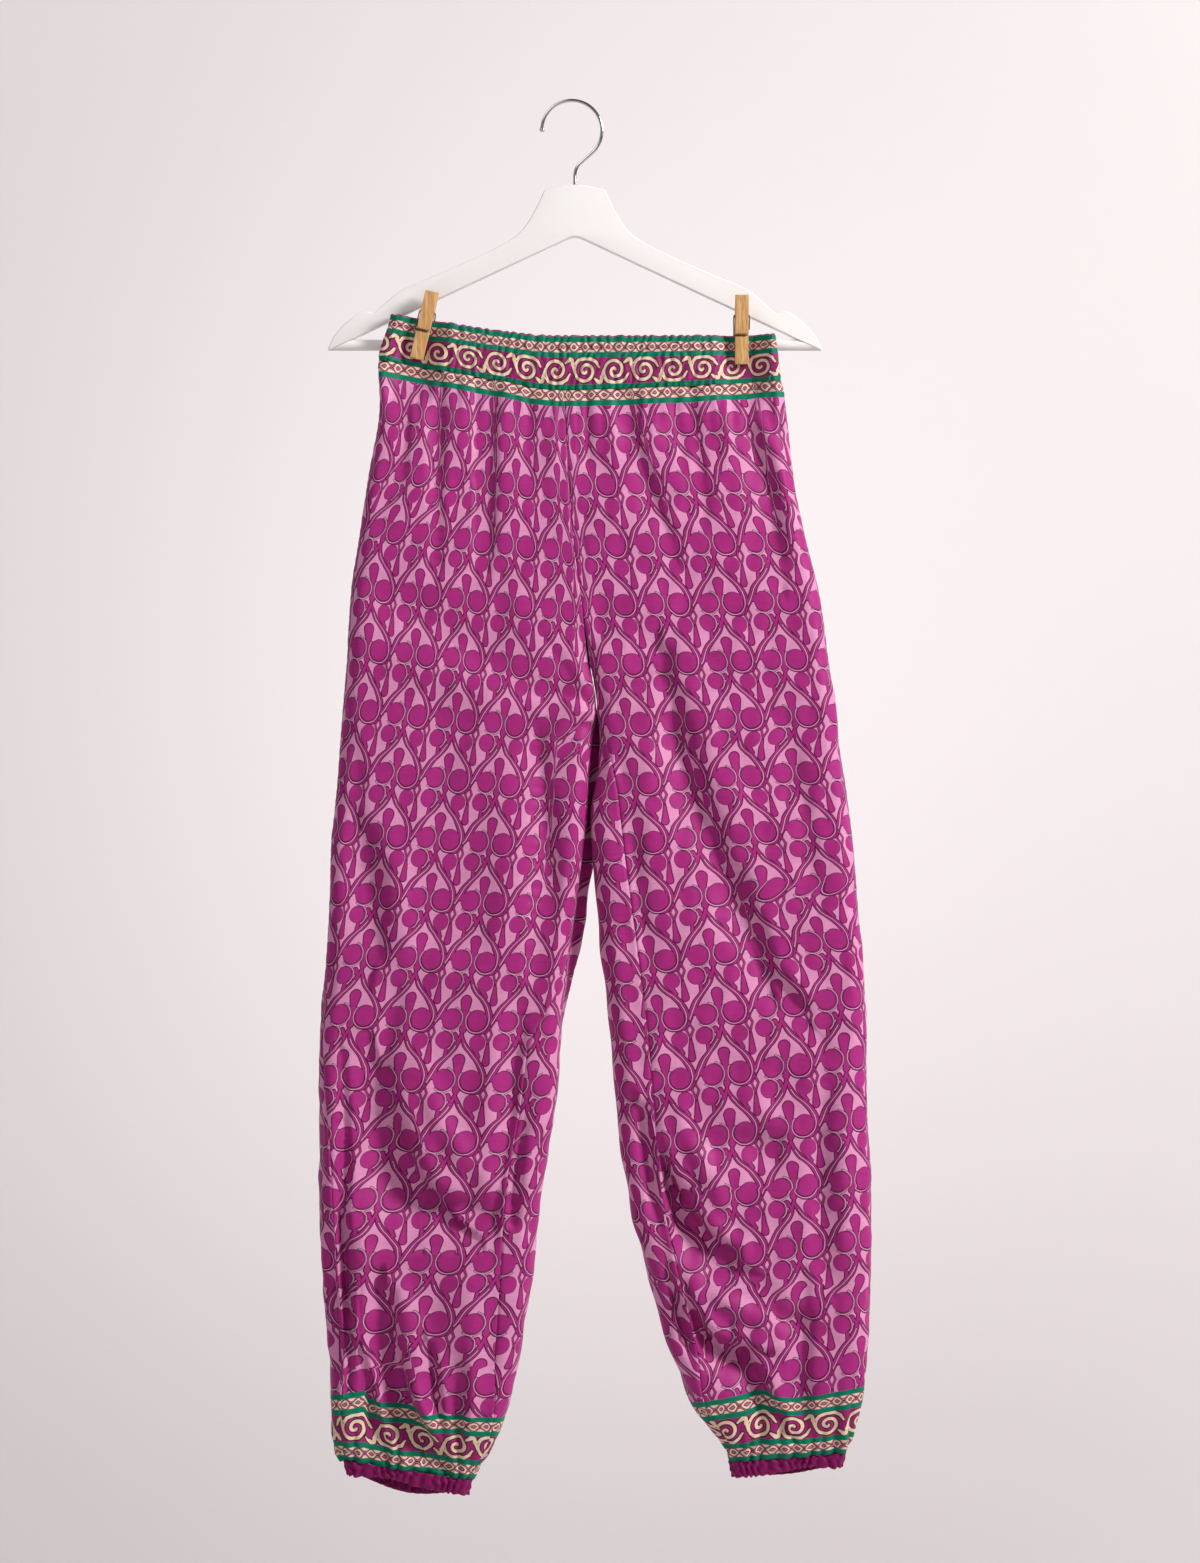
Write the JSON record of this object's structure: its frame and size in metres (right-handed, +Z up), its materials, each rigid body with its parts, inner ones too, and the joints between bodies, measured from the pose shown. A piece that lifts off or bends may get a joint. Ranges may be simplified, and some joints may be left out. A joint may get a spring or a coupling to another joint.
{
  "type": "printed cuffed joggers pegged on a wooden trouser hanger",
  "caption": "Soft printed joggers with a gathered elastic waist and gathered cuffs, hung flat by clothes pegs from the bar of a white wooden hanger.",
  "frame": {"origin": "inside of the hanger hook's crown, above the stem, where a rail carries it", "axes": "+Z up, -Y towards the viewer and the garment's front, +X to the viewer's right"},
  "size_m": [0.4931, 0.0536, 1.2496],
  "materials": {
    "printed_silk": "soft printed silk with a satin sheen",
    "border_silk": "striped border of the same silk, gathered",
    "plain_silk": "plain magenta silk, gathered",
    "hanger_paint": "white satin paint on wood",
    "hook_wire": "polished steel wire",
    "peg_wood": "bare pale wood",
    "spring_wire": "dull galvanised wire"
  },
  "bodies": {
    "root": {"leg_front_left": "printed_silk", "leg_back_left": "printed_silk", "cuff_left": "plain_silk", "leg_front_right": "printed_silk", "leg_back_right": "printed_silk", "cuff_right": "plain_silk", "waist_casing_front": "border_silk", "waist_casing_back": "border_silk", "pocket_facing_right": "plain_silk", "hanger_body": "hanger_paint", "hanger_bar": "hanger_paint", "hanger_hook": "hook_wire", "peg_left_front": "peg_wood", "peg_left_back": "peg_wood", "peg_left_spring": "spring_wire", "peg_right_front": "peg_wood", "peg_right_back": "peg_wood", "peg_right_spring": "spring_wire"}
  },
  "joints": []
}
